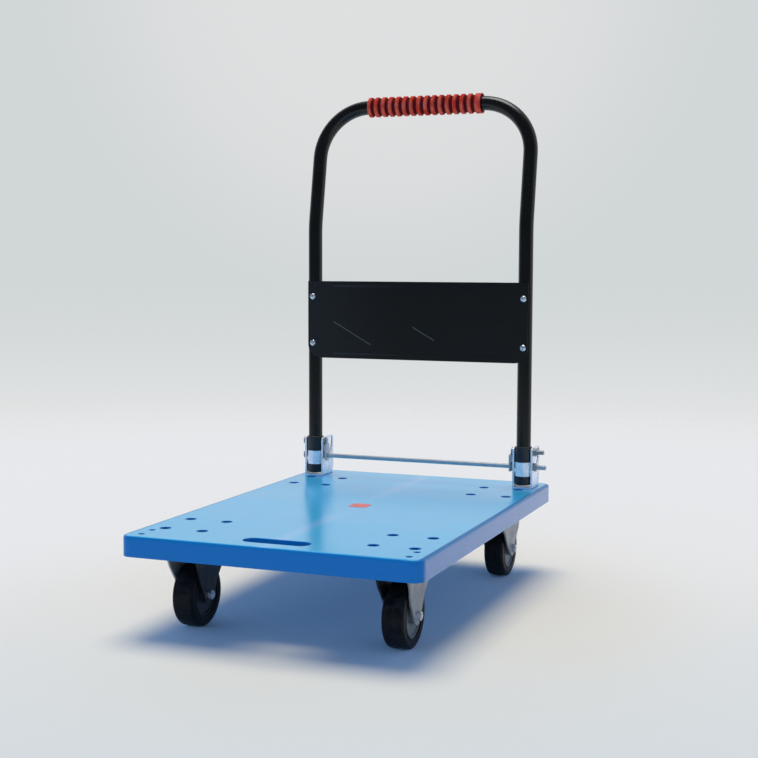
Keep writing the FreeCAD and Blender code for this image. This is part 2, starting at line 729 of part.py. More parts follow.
def make_bush(name, x, y):
    body = new_body(name + "_bush")
    section = add_sketch(body, name + "_sleeve", "YZ_Plane")
    circle(section, "0", "0", "bush")
    circle(section, "0", "0", "axle + seat_gap")
    pad(body, section, "2 * fork_inside", both=True)
    place(body, x, y, "wheel")
    return node(body, name + "_bush")


def hexagon(flats, height, centre, direction):
    """A hexagonal prism from a centre along a direction."""
    across = flats / math.sqrt(3)
    side = direction.cross(V(0, 0, 1)) if abs(direction.z) < 0.5 else V(1, 0, 0)
    up = direction.cross(side)
    ring = []
    for i in range(7):
        angle = math.radians(60 * i + 30)
        ring.append(centre + side * (across * math.cos(angle)) + up * (across * math.sin(angle)))
    return Part.Face(Part.makePolygon(ring)).extrude(direction * height)


def bevelled(prism, flats, height, centre, direction):
    """A hexagonal prism with its outer corners turned down to a cone."""
    across = flats / math.sqrt(3)
    cone = Part.makeCone(across + height, flats * 0.46, height + across - flats * 0.46, centre, direction)
    return prism.common(cone)


def make_bolt(start, direction, shank, radius, flats, head):
    """A hexagon-head bolt: start is under its head, and the shank runs along the direction."""
    back = direction * -1
    cap = bevelled(hexagon(flats, head, start, back), flats, head, start, back)
    return cap.fuse(Part.makeCylinder(radius, shank, start, direction)).removeSplitter()


def make_nut(start, direction, radius, flats, height):
    """A hexagon nut whose seat is at start."""
    body = bevelled(hexagon(flats, height, start, direction), flats, height, start, direction)
    return body.cut(Part.makeCylinder(radius, height, start, direction))


def keep(label, solids, x="0", y="0", z="0"):
    """A sub-part made of ready solids."""
    item = doc.addObject("Part::Feature", label)
    item.Shape = solids[0] if len(solids) == 1 else Part.Compound(solids)
    place(item, x, y, z)
    doc.recompute()
    return node(item, label)


def make_axle(name, x, y):
    """The axle bolt and its nut, about the wheel's middle."""
    half = value("fork_outside")
    across = V(1, 0, 0)
    bolt = make_bolt(
        V(-half, 0, 0),
        across,
        2 * half + value("nut_height + thread_show"),
        value("axle"),
        value("nut_flats"),
        value("nut_height"),
    )
    nut = make_nut(V(half, 0, 0), across, value("axle"), value("nut_flats"), value("nut_height"))
    keep(name + "_axle_bolt", [bolt], x, y, "wheel")
    keep(name + "_axle_nut", [nut], x, y, "wheel")


def make_casters():
    for name, x, y in CASTERS:
        if name.startswith("front"):
            make_rigid_fork(name, x, y)
            wheel_y = y
        else:
            make_swivel_fork(name, x, y)
            make_swivel_plate(name, x, y)
            make_ball_race(name, x, y)
            make_kingpin(name, x, y)
            wheel_y = f"{y} + trail"
        make_tyre(name, x, wheel_y)
        make_hub(name, x, wheel_y)
        make_bush(name, x, wheel_y)
        make_axle(name, x, wheel_y)


def make_caster_bolts():
    """Bolts from above in their recesses, nuts under the caster plates."""
    bolts, nuts = [], []
    radius, flats, height = value("small_bolt"), value("small_flats"), value("small_height")
    shank = value("recess_floor + plate + small_height + thread_show")
    for name, x, y in CASTERS:
        for dx, dy in corners_of():
            head = spot(f"{x} + {dx}", f"{y} + {dy}", "seat + recess_floor")
            bolts.append(make_bolt(head, V(0, 0, -1), shank, radius, flats, height))
            seat = spot(f"{x} + {dx}", f"{y} + {dy}", "plate_under")
            nuts.append(make_nut(seat, V(0, 0, -1), radius, flats, height))
    keep("caster_bolts", bolts)
    keep("caster_nuts", nuts)


# ---------------------------------------------------------------- hinge brackets


def make_bracket(side, sign):
    """A pressed channel on the deck, open to the front and rear, with a window for the rod's quarter turn."""
    body = new_body(f"{side}_hinge_bracket")
    section = add_sketch(body, side + "_channel", "XZ_Plane")
    low, high = "bracket_foot", "(deck_top + cheek_rise)"
    outline(
        section,
        [
            ("-cheek_gap - cheek", low),
            ("cheek_gap + cheek", low),
            ("cheek_gap + cheek", high),
            ("cheek_gap", high),
            ("cheek_gap", "base_top"),
            ("-cheek_gap", "base_top"),
            ("-cheek_gap", high),
            ("-cheek_gap - cheek", high),
        ],
    )
    reach = "2 * cheek_rear"
    channel = pad(body, section, reach, both=True)
    side_x = value("cheek_gap + cheek")
    round_edges(
        body,
        channel,
        "cheek",
        lambda edge: along(edge, V(0, 1, 0))
        and level(edge, value("bracket_foot"))
        and abs(abs(edge.CenterOfMass.x) - side_x) < 1e-4,
    )
    view = add_sketch(body, side + "_cheek_outline", "YZ_Plane")
    outer = "2 * cheek_rear"
    shape = [
        ("-cheek_front", low),
        ("cheek_rear - cheek_slope", low),
        ("cheek_rear - cheek_slope", "base_top"),
        ("cheek_rear", "deck_top + cheek_heel"),
        ("cheek_rear", high),
        ("-cheek_front", high),
    ]
    block(view, f"-{outer}", "sheet_under", outer, f"{high} + cheek")
    outline(view, shape)
    trimmed = cut(body, view)
    round_edges(
        body,
        trimmed,
        "cheek_round",
        lambda edge: along(edge, V(1, 0, 0)) and edge.CenterOfMass.z > value("pivot_z + rod"),
    )
    pin_hole = add_sketch(body, side + "_pin_hole", "YZ_Plane")
    circle(pin_hole, "0", "pivot_z", "pivot_pin + seat_gap")
    cut(body, pin_hole)
    window = add_sketch(body, side + "_window", "YZ_Plane")
    quarter_window(window)
    cut(body, window)
    screws = add_sketch(body, side + "_screw_holes", "XY_Plane")
    for across in ("-", ""):
        for step in ("base_screw_front", "base_screw_rear"):
            circle(screws, f"{across}base_screw_side", step, "small_bolt + hole_gap")
    cut(body, screws)
    place(body, f"{sign} * handle_half", "leg_y")
    return node(body, f"{side}_hinge_bracket")


def quarter_window(sketch):
    """A quarter ring about the pivot, from under it round to its rear, with room for the rod at both ends."""
    centre = V(0, value("pivot_z"), 0)
    side = value("slot_side")
    arcs = []
    for name in ("slot_inner", "slot_outer"):
        radius = value(name)
        spread = math.asin(side / radius)
        ring = Part.Circle(centre, V(0, 0, 1), radius)
        arcs.append(sketch.addGeometry(Part.ArcOfCircle(ring, -math.pi / 2 - spread, spread)))
        fix_point(sketch, arcs[-1], 3, "0", "pivot_z")
        fix(sketch, "Radius", (arcs[-1],), name)
    near, far = [sketch.Geometry[index] for index in arcs]
    front = sketch.addGeometry(Part.LineSegment(near.StartPoint, far.StartPoint))
    top = sketch.addGeometry(Part.LineSegment(near.EndPoint, far.EndPoint))
    for line, end in ((front, 1), (top, 2)):
        sketch.addConstraint(Sketcher.Constraint("Coincident", line, 1, arcs[0], end))
        sketch.addConstraint(Sketcher.Constraint("Coincident", line, 2, arcs[1], end))
    sketch.addConstraint(Sketcher.Constraint("Vertical", front))
    sketch.addConstraint(Sketcher.Constraint("Horizontal", top))
    fix(sketch, "DistanceX", (-1, 1, front, 1), "-slot_side")
    fix(sketch, "DistanceY", (-1, 1, top, 1), "pivot_z + slot_side")


def make_bracket_screws():
    """Screws set flush in the brackets' bases, with nuts under the deck's bosses."""
    screws, nuts = [], []
    radius = value("small_bolt")
    length = value("cheek + base_boss_drop + small_height + thread_show")
    for x, y in base_screw_places():
        top = spot(x, y, "base_top")
        screws.append(Part.makeCylinder(radius, length, top, V(0, 0, -1)))
        under = spot(x, y, "deck_top - base_boss_drop")
        nuts.append(make_nut(under, V(0, 0, -1), radius, value("small_flats"), value("small_height")))
    keep("bracket_screws", screws)
    keep("bracket_nuts", nuts)


def make_pivot_bolts():
    """Both bolts point to the right: the left one has its nut inside, the right one outside."""
    across = V(1, 0, 0)
    pin, flats = value("pivot_pin"), value("nut_flats")
    outer, inner = value("cheek_outer + cheek"), value("cheek_inner - cheek")
    thin, full = value("thin_nut"), value("nut_height")
    axis_y, axis_z = value("leg_y"), value("pivot_z")
    left_start = V(-outer, axis_y, axis_z)
    right_start = V(inner, axis_y, axis_z)
    width = outer - inner
    left = make_bolt(left_start, across, width + thin + value("thread_show"), pin, flats, thin)
    right = make_bolt(right_start, across, width + value("bolt_out"), pin, flats, thin)
    keep("left_pivot_bolt", [left])
    keep("right_pivot_bolt", [right])
    nuts = [
        make_nut(V(-inner, axis_y, axis_z), across, pin, flats, thin),
        make_nut(V(outer, axis_y, axis_z), across, pin, flats, full),
    ]
    keep("pivot_nuts", nuts)


# ---------------------------------------------------------------- handle


def handle_path(foot):
    """The middle line of the tube: up the left leg, over the top bar and down the right leg."""
    half, low_y, high_y = value("handle_half"), value("leg_y"), value("bar_y")
    bend_z, bar_z = value("bend_z"), value("bar_z")
    corners = [
        V(-half, low_y, foot),
        V(-half, low_y, bend_z),
        V(-half, high_y, bar_z),
        V(half, high_y, bar_z),
        V(half, low_y, bend_z),
        V(half, low_y, foot),
    ]
    lean, corner = value("lean_round"), value("handle_corner")
    return rounded_path(corners, [lean, corner, corner, lean])


def rounded_path(corners, radii):
    """Straight runs joined by tangent arcs, one radius for each inner corner."""
    edges = []
    start = corners[0]
    for i, radius in enumerate(radii, 1):
        back = (corners[i - 1] - corners[i]).normalize()
        ahead = (corners[i + 1] - corners[i]).normalize()
        half_turn = (math.pi - back.getAngle(ahead)) / 2
        reach = radius * math.tan(half_turn)
        enter = corners[i] + back * reach
        leave = corners[i] + ahead * reach
        inward = (back + ahead).normalize()
        middle = corners[i] + inward * (radius / math.cos(half_turn) - radius)
        edges.append(Part.LineSegment(start, enter).toShape())
        edges.append(Part.Arc(enter, middle, leave).toShape())
        start = leave
    edges.append(Part.LineSegment(start, corners[-1]).toShape())
    return Part.Wire(edges)


def make_handle_tube():
    foot = value("tube_end")
    path = handle_path(foot)
    start = path.Vertexes[0].Point
    skins = []
    for name in ("tube", "tube_bore"):
        ring = Part.Wire(Part.Circle(start, V(0, 0, 1), value(name)).toShape())
        skins.append(path.makePipeShell([ring], True, False))
    tube = skins[0].cut(skins[1])
    half, leg_y = value("handle_half"), value("leg_y")
    across = V(1, 0, 0)
    for sign in (-1, 1):
        middle = sign * half
        reach = value("cheek_gap")
        start = V(middle - reach, leg_y, value("pivot_z"))
        tube = tube.cut(Part.makeCylinder(value("pivot_pin + seat_gap"), 2 * reach, start, across))
        tube = tube.cut(rod_slot(middle, reach))
        for height in ("panel_z + screw_foot", "panel_z + screw_foot + screw_rise"):
            front = V(middle, value("panel_y"), value(height))
            tube = tube.cut(Part.makeCylinder(value("screw_shank"), value("tube"), front, V(0, 1, 0)))
    return keep("handle_tube", [tube])


def rod_slot(middle, reach):
    """The upright slot for the release rod, right through one leg."""
    side, leg_y = value("slot_side"), value("leg_y")
    top, foot = value("rod_z"), value("rod_z - rod_travel")
    corner = V(middle - reach, leg_y - side, foot)
    slot = Part.makeBox(2 * reach, 2 * side, top - foot, corner)
    for height in (top, foot):
        start = V(middle - reach, leg_y, height)
        slot = slot.fuse(Part.makeCylinder(side, 2 * reach, start, V(1, 0, 0)))
    return slot.removeSplitter()


def make_collar(side, sign):
    """A moulded collar that centres a leg between the cheeks, with the pivot bolt through it."""
    body = new_body(f"{side}_pivot_collar")
    section = add_sketch(body, side + "_collar", "XZ_Plane")
    block(section, "tube + seat_gap", "collar_foot", "collar_side", "collar_foot + collar_height")
    ring = turn(body, section, "V")
    top = value("collar_foot + collar_height")
    side_x = value("collar_side")
    round_edges(
        body,
        ring,
        "collar_round",
        lambda edge: level(edge, top) and abs(edge.BoundBox.XMax - side_x) < 1e-3,
    )
    hole = add_sketch(body, side + "_collar_hole", "YZ_Plane")
    circle(hole, "0", "pivot_z", "pivot_pin + seat_gap")
    cut(body, hole)
    place(body, f"{sign} * handle_half", "leg_y")
    return node(body, f"{side}_pivot_collar")


def make_slot_sleeve(side, sign):
    """A zinc band round the leg that carries the wear of the rod's slot."""
    body = new_body(f"{side}_slot_sleeve")
    plan = add_sketch(body, side + "_sleeve", "XY_Plane", "sleeve_foot")
    circle(plan, "0", "0", "tube + seat_gap + sleeve_wall")
    circle(plan, "0", "0", "tube + seat_gap")
    pad(body, plan, "sleeve_height")
    slot = add_sketch(body, side + "_sleeve_slot", "YZ_Plane")
    upright_hole(slot)
    cut(body, slot)
    place(body, f"{sign} * handle_half", "leg_y")
    return node(body, f"{side}_slot_sleeve")


def upright_hole(sketch):
    """The rod's slot, seen from the side."""
    side = value("slot_side")
    top, foot = value("rod_z"), value("rod_z - rod_travel")
    unit = V(0, 0, 1)
    over = sketch.addGeometry(Part.ArcOfCircle(Part.Circle(V(0, top, 0), unit, side), 0, math.pi))
    under = sketch.addGeometry(Part.ArcOfCircle(Part.Circle(V(0, foot, 0), unit, side), math.pi, 2 * math.pi))
    front = sketch.addGeometry(Part.LineSegment(V(-side, top, 0), V(-side, foot, 0)))
    rear = sketch.addGeometry(Part.LineSegment(V(side, foot, 0), V(side, top, 0)))
    for ends in ((over, 2, front, 1), (front, 2, under, 1), (under, 2, rear, 1), (rear, 2, over, 1)):
        sketch.addConstraint(Sketcher.Constraint("Tangent", *ends))
    fix_point(sketch, over, 3, "0", "rod_z")
    fix_point(sketch, under, 3, "0", "rod_z - rod_travel")
    fix(sketch, "Radius", (over,), "slot_side")
    sketch.addConstraint(Sketcher.Constraint("Equal", over, under))


def make_plug(side, sign):
    """The foot of a leg: a cup over the tube's end, with a spigot inside that the spring stands on."""
    body = new_body(f"{side}_end_plug")
    section = add_sketch(body, side + "_plug", "XZ_Plane")
    outer = "(tube + seat_gap + sleeve_wall)"
    spigot = "(tube_bore - seat_gap)"
    outline(
        section,
        [
            ("0", "foot_z"),
            (outer, "foot_z"),
            (outer, "plug_top"),
            ("tube + seat_gap", "plug_top"),
            ("tube + seat_gap", "tube_end"),
            (spigot, "tube_end"),
            (spigot, "plug_top - spring_seat"),
            ("0", "plug_top - spring_seat"),
        ],
    )
    cup = turn(body, section, "V")
    foot = value("foot_z")
    round_edges(body, cup, "sleeve_wall", lambda edge: level(edge, foot))
    place(body, f"{sign} * handle_half", "leg_y")
    return node(body, f"{side}_end_plug")


def make_spring(side, sign):
    """A flat-wire spring inside the leg, between the end plug and the release rod."""
    foot = "(plug_top - spring_seat)"
    height = value(f"rod_z - rod - seat_gap - {foot}")
    wire, radius, turns = value("spring_wire"), value("spring_radius"), value("spring_turns")
    rise = height - wire
    helix = Part.makeHelix(rise / turns, rise, radius)
    corner = V(radius - wire / 2, 0, -wire / 2)
    steps = (V(0, 0, 0), V(wire, 0, 0), V(wire, 0, wire), V(0, 0, wire), V(0, 0, 0))
    profile = Part.makePolygon([corner + step for step in steps])
    coil = helix.makePipeShell([profile], True, True)
    keep(f"{side}_lock_spring", [coil], f"{sign} * handle_half", "leg_y", f"{foot} + spring_wire / 2")


# One rib of the grip, from one groove to the next: share of the pitch, and radius there.
RIB_STEPS = [(0.12, "grip_groove"), (0.48, "grip_groove"), (0.60, "grip_rib"), (0.96, "grip_rib")]

# The panel's slanting braces: their upper left corners from the middle and the foot, and their run across.
BRACES = [(-163, 68, 76), (-4, 60, 42)]


def make_grip():
    """A ribbed rubber sleeve with a plain collar at each end, round the top bar."""
    body = new_body("hand_grip")
    section = add_sketch(body, "grip_ribs", "XZ_Plane")
    half = "(grip_length / 2)"
    inner = "(tube + seat_gap)"
    ribs = int(value("grip_ribs"))
    pitch = f"((grip_length - 2 * grip_collar) / {ribs})"
    points = [(f"-{half}", inner), (f"-{half}", "grip_rib"), (f"-{half} + grip_collar", "grip_rib")]
    for rib in range(ribs):
        start = f"-{half} + grip_collar + {rib} * {pitch}"
        points += [(f"{start} + {pitch} * {share}", radius) for share, radius in RIB_STEPS]
    points += [(half, "grip_rib"), (half, inner)]
    outline(section, points)
    turn(body, section, "H")
    place(body, "0", "bar_y", "bar_z")
    return node(body, "hand_grip")


def make_panel():
    """A pressed sheet across the legs: round lower corners, a bead along each long edge and two braces."""
    body = new_body("back_panel")
    face = add_sketch(body, "panel_face", "XZ_Plane")
    block(face, "-panel_half", "panel_z", "panel_half", "panel_z + panel_height")
    blank = pad(body, face, "panel_sheet")
    low = value("panel_z")
    rounded = round_edges(
        body,
        blank,
        "panel_corner",
        lambda edge: along(edge, V(0, 1, 0)) and level(edge, low),
    )
    beads = add_sketch(body, "panel_beads", "XZ_Plane", "panel_sheet")
    end, thick = "(handle_half - bead_inset)", "bead_width / 2"
    for middle in ("panel_z + bead_edge", "panel_z + panel_height - bead_edge"):
        block(beads, f"-{end}", f"{middle} - {thick}", end, f"{middle} + {thick}")
    for x, z, run in BRACES:
        high = f"panel_z + {z}"
        low = f"{high} - {run} * brace_fall"
        outline(
            beads,
            [
                (f"{x}", high),
                (f"{x + run}", low),
                (f"{x + run}", f"{low} + brace_width"),
                (f"{x}", f"{high} + brace_width"),
            ],
        )
    pad(body, beads, "panel_bead")
    holes = add_sketch(body, "panel_holes", "XZ_Plane")
    for sign in ("-", ""):
        for height in ("panel_z + screw_foot", "panel_z + screw_foot + screw_rise"):
            circle(holes, f"{sign}handle_half", height, "screw_shank + hole_gap")
    cut(body, holes)
    place(body, "0", "panel_y")
    return node(body, "back_panel")


def make_panel_screws():
    """Domed screws through the panel into the legs."""
    radius, shank, dome = value("screw_head"), value("screw_shank"), value("screw_dome")
    front = value("panel_y - panel_sheet")
    depth = value("panel_sheet + seat_gap + tube_wall + screw_bite")
    ball_radius = (radius**2 + dome**2) / (2 * dome)
    screws = []
    for side, sign in SIDES:
        for height in ("panel_z + screw_foot", "panel_z + screw_foot + screw_rise"):
            seat = V(sign * value("handle_half"), front, value(height))
            ball = Part.makeSphere(ball_radius, seat + V(0, ball_radius - dome, 0))
            head = ball.common(Part.makeCylinder(radius, radius, seat, V(0, -1, 0)))
            head = head.cut(cross_recess(seat + V(0, -dome, 0)))
            screws.append(head.fuse(Part.makeCylinder(shank, depth, seat, V(0, 1, 0))).removeSplitter())
    return keep("panel_screws", screws)


def cross_recess(top):
    """The two crossed slots of a screw head, cut down from its top along +Y."""
    length, width, depth = value("cross_length"), value("cross_width"), value("cross_depth")
    across = Part.makeBox(length, depth, width, top - V(length / 2, 0, width / 2))
    upright = Part.makeBox(width, depth, length, top - V(width / 2, 0, length / 2))
    return across.fuse(upright)


# ---------------------------------------------------------------- release rod


def make_release_rod():
    """A plain rod through both legs: its left end stops short, its right end is a length of thread."""
    across = V(1, 0, 0)
    outer = value("cheek_outer + cheek")
    start = V(-outer - value("thin_nut + thread_show"), value("leg_y"), value("rod_z"))
    length = outer + value("thread_out") - start.x
    rod = Part.makeCylinder(value("rod"), length, start, across)
    rounded = [edge for edge in rod.Edges if edge.Curve.TypeId == "Part::GeomCircle"]
    return keep("release_rod", [rod.makeChamfer(value("rod_bevel"), rounded)])


def make_rod_nuts():
    """A nut each side of the cheeks, all of them a running gap away from the brackets."""
    across = V(1, 0, 0)
    rod, flats, thin, full = value("rod"), value("nut_flats"), value("thin_nut"), value("nut_height")
    y, z, gap = value("leg_y"), value("rod_z"), value("rod_gap")
    outer, inner = value("cheek_outer + cheek") + gap, value("cheek_inner - cheek") - gap
    nuts = [
        make_nut(V(-outer, y, z), across * -1, rod, flats, thin),
        make_nut(V(-inner, y, z), across, rod, flats, thin),
        make_nut(V(inner, y, z), across * -1, rod, flats, thin),
        make_nut(V(outer, y, z), across, rod, flats, full),
    ]
    return keep("rod_nuts", nuts)


def make_rod_plate(side, sign):
    """A pressed plate on the rod that covers the bracket's window from the inside."""
    body = new_body(f"{side}_rod_plate")
    face = add_sketch(body, side + "_rod_plate_face", "YZ_Plane")
    block(face, "-guide_width / 2", "rod_z - guide_below", "guide_width / 2", "rod_z + guide_above")
    blank = pad(body, face, "plate", both=True)
    round_edges(body, blank, "guide_width / 4", lambda edge: along(edge, V(1, 0, 0)))
    hole = add_sketch(body, side + "_rod_plate_hole", "YZ_Plane")
    circle(hole, "0", "rod_z", "rod")
    cut(body, hole)
    place(body, f"{sign} * (cheek_inner - cheek - rod_gap - thin_nut - plate / 2)", "leg_y")
    return node(body, f"{side}_rod_plate")


# ---------------------------------------------------------------- assembly


def build():
    make_deck()
    make_casters()
    make_caster_bolts()
    for side, sign in SIDES:
        make_bracket(side, sign)
        make_collar(side, sign)
        make_slot_sleeve(side, sign)
        make_plug(side, sign)
        make_spring(side, sign)
        make_rod_plate(side, sign)
    make_bracket_screws()
    make_pivot_bolts()
    make_handle_tube()
    make_grip()
    make_panel()
    make_panel_screws()
    make_release_rod()
    make_rod_nuts()
    doc.recompute()


def write():
    """Checks every object and sub-part, then writes one STEP file for each."""
    for item in doc.Objects:
        if "Invalid" in item.State or "Error" in item.State:
            raise RuntimeError(f"{item.Name} did not compute: {item.State}")
    for item in NODES:
        if item.Shape.isNull() or not item.Shape.isValid() or not item.Shape.Solids:
            raise RuntimeError(f"{item.Label} has no valid solid")
    os.makedirs("parts", exist_ok=True)
    for item in NODES:
        item.Shape.exportStep(f"parts/{item.Label}.step")
    print(f"{len(NODES)} sub-parts written")


build()
write()
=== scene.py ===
# %% [markdown]
# # A folding platform cart
# The cart is already built as solid pieces: a moulded deck on four casters, and a tubular handle
# that folds down over it. This lesson gives those pieces their finishes, adds a thin badge and
# copies of the two lock springs, and sets the cart up in a small studio. Everything is in metres:
# X runs across the cart, Y from its free edge to its handle, and Z up from the floor.

# %% Load the cart
import json
import math

import bmesh
import bpy
from mathutils import Matrix, Quaternion, Vector


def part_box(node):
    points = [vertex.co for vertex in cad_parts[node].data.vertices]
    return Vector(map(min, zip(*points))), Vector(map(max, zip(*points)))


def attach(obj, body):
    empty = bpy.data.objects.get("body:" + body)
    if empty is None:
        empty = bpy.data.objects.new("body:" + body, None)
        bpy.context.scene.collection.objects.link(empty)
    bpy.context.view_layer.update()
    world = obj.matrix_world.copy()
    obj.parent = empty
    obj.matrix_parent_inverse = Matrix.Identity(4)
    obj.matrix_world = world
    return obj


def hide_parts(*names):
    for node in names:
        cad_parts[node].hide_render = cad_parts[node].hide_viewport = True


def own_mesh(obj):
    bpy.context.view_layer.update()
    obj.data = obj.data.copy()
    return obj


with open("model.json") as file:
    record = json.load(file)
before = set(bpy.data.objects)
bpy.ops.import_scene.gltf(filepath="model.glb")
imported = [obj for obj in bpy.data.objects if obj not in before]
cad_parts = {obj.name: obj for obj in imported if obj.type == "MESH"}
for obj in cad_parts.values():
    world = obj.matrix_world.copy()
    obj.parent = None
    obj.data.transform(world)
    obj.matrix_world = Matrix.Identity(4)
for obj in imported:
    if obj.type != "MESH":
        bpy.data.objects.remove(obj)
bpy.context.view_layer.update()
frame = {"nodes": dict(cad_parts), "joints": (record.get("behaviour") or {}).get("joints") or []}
cart = frame["nodes"]

deck_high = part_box("deck")[1]
DECK_TOP = deck_high.z
print("deck top at", round(DECK_TOP, 4), "m")

# %% [markdown]
# ## The camera
# The cart stands with its free edge towards us, turned nearly a quarter of a right
# angle. The camera is low, about level with the middle of the handle, and looks down a
# little, so the deck is seen almost edge on. A lens of 65 mm from over two metres keeps
# the sides of the deck from running together too fast. The last fifth of a degree is
# roll.

# %% Camera
CAMERA_PLACE = Vector((0.8493, -2.0932, 0.564))
CAMERA_YAW = math.radians(-21.216)
CAMERA_PITCH = math.radians(-4.855)
CAMERA_ROLL = math.radians(0.184)
CAMERA_LENS = 64.77
CAMERA_SENSOR = 36.0


def put(name, data):
    """A new object in the scene, made of that mesh, camera or light."""
    placed = bpy.data.objects.new(name, data)
    bpy.context.scene.collection.objects.link(placed)
    return placed


sight = Vector((
    math.sin(CAMERA_YAW) * math.cos(CAMERA_PITCH),
    math.cos(CAMERA_YAW) * math.cos(CAMERA_PITCH),
    math.sin(CAMERA_PITCH),
))
camera = put("camera", bpy.data.cameras.new("camera"))
camera.data.sensor_width = CAMERA_SENSOR
camera.data.lens = CAMERA_LENS
camera.location = CAMERA_PLACE
camera.rotation_mode = "QUATERNION"
camera.rotation_quaternion = sight.to_track_quat("-Z", "Y") @ Quaternion((0, 0, 1), CAMERA_ROLL)
bpy.context.scene.camera = camera
bpy.context.scene.view_settings.view_transform = "Standard"
print("camera to cart:", round((CAMERA_PLACE - Vector((0, 0, DECK_TOP))).length, 2), "m")

# %% [markdown]
# ## Writing shaders as sums
# Every finish below is a little arithmetic on positions and noise. Drawing that with
# hundreds of named nodes and links hides the idea, so one small class stands for a
# socket, and Python's own + - * and ** on it add the Math nodes.

# %% A socket that can be added and multiplied
class Wire:
    """An output socket. Arithmetic on it adds Math nodes to its finish."""

    def __init__(self, finish, socket):
        self.finish = finish
        self.socket = socket

    def maths(self, operation, *values):
        inputs = dict(enumerate(values))
        return self.finish.node("Math", {"operation": operation}, inputs)

    def __add__(self, other):
        return self.maths("ADD", self, other)

    def __sub__(self, other):
        return self.maths("SUBTRACT", self, other)

    def __rsub__(self, other):
        return self.maths("SUBTRACT", other, self)

    def __mul__(self, other):
        return self.maths("MULTIPLY", self, other)

    def __pow__(self, other):
        return self.maths("POWER", self, other)

    def __abs__(self):
        return self.maths("ABSOLUTE", self)

    __radd__ = __add__
    __rmul__ = __mul__

    def ramp(self, low, high):
        """0 below low, 1 above high, and a smooth step between; low may be the larger."""
        settings = {"interpolation_type": "SMOOTHSTEP"}
        return self.finish.node("MapRange", settings, {0: self, 1: low, 2: high, 3: 0.0, 4: 1.0})

    def most(self, other):
        return self.maths("MAXIMUM", self, other)


# %% [markdown]
# A finish is a material built round one Principled shader. What is the same all over a
# piece is a plain number or colour on the shader. What changes over it is a mask: a wire
# that goes from 0 to 1. The mask then blends two colours, or takes a socket from one
# value to another. One method makes every node that isn't plain arithmetic.

# %% A finish, and its one way to make nodes
class Finish:
    """A material built round one Principled shader."""

    def __init__(self, name, colour, roughness, metallic=0.0, **fixed):
        self.material = bpy.data.materials.new(name)
        self.material.use_nodes = True
        self.tree = self.material.node_tree
        self.shader = self.tree.nodes["Principled BSDF"]
        self.shader.inputs["Base Color"].default_value = (*colour, 1.0)
        self.shader.inputs["Roughness"].default_value = roughness
        self.shader.inputs["Metallic"].default_value = metallic
        for socket, value in fixed.items():
            self.shader.inputs[socket.replace("_", " ")].default_value = value
        self.start_from("Object")

    def start_from(self, coordinates):
        """Every mask begins with these coordinates, whole or split into x, y and z."""
        self.place = self.node("TexCoord", {}, {}, out=coordinates)
        self.x, self.y, self.z = (
            self.node("SeparateXYZ", {}, {0: self.place}, out=axis) for axis in "XYZ"
        )

    def node(self, kind, settings, inputs, out=0):
        """A node of that kind: its settings first, then the values or wires of its sockets."""
        made = self.tree.nodes.new("ShaderNode" + kind)
        for name, value in settings.items():
            setattr(made, name, value)
        for socket, value in inputs.items():
            if isinstance(value, Wire):
                self.tree.links.new(value.socket, made.inputs[socket])
            else:
                made.inputs[socket].default_value = value
        return Wire(self, made.outputs[out])

    def noise(self, scale, detail=2.0):
        """Soft noise round 0.5, scale in cells per metre."""
        return self.node("TexNoise", {}, {"Vector": self.place, "Scale": scale, "Detail": detail})

    def cells(self, scale):
        """Distance to the nearest of scattered points, scale in points per metre."""
        return self.node("TexVoronoi", {}, {"Vector": self.place, "Scale": scale})

    def blend(self, mask, first, second):
        """Colour first where the mask is 0 and second where it is 1."""
        colours = [c if isinstance(c, Wire) else (*c, 1.0) for c in (first, second)]
        return self.node(
            "Mix", {"data_type": "RGBA"}, {0: mask, 6: colours[0], 7: colours[1]}, out=2
        )

    def wire(self, socket, wire):
        self.tree.links.new(wire.socket, self.shader.inputs[socket])

    def vary(self, socket, mask, first, second):
        """The socket's value is first where the mask is 0 and second where it is 1."""
        self.wire(socket, first + mask * (second - first))

    def bump(self, height, depth, strength):
        """Relief of that depth in metres where the height goes from 0 to 1."""
        inputs = {"Strength": strength, "Distance": depth, "Height": height}
        self.wire("Normal", self.node("Bump", {}, inputs))


# %% [markdown]
# Most pieces come in pairs or in fours, so their names are built from the side or the
# corner that they sit at.

# %% Dressing pieces in a finish
CASTERS = ("front_left", "front_right", "rear_left", "rear_right")
SWIVELS = CASTERS[2:]


def dress(finish, *names):
    """Gives CAD pieces this finish."""
    for name in names:
        for slot in cart[name].material_slots:
            slot.material = finish.material
    print(finish.material.name, "dresses:", len(names))


def both(*names):
    """The left and right pieces of these names."""
    return [f"{side}_{name}" for name in names for side in ("left", "right")]


def each(casters, *names):
    """The pieces of these names at each of the casters."""
    return [f"{caster}_{name}" for name in names for caster in casters]
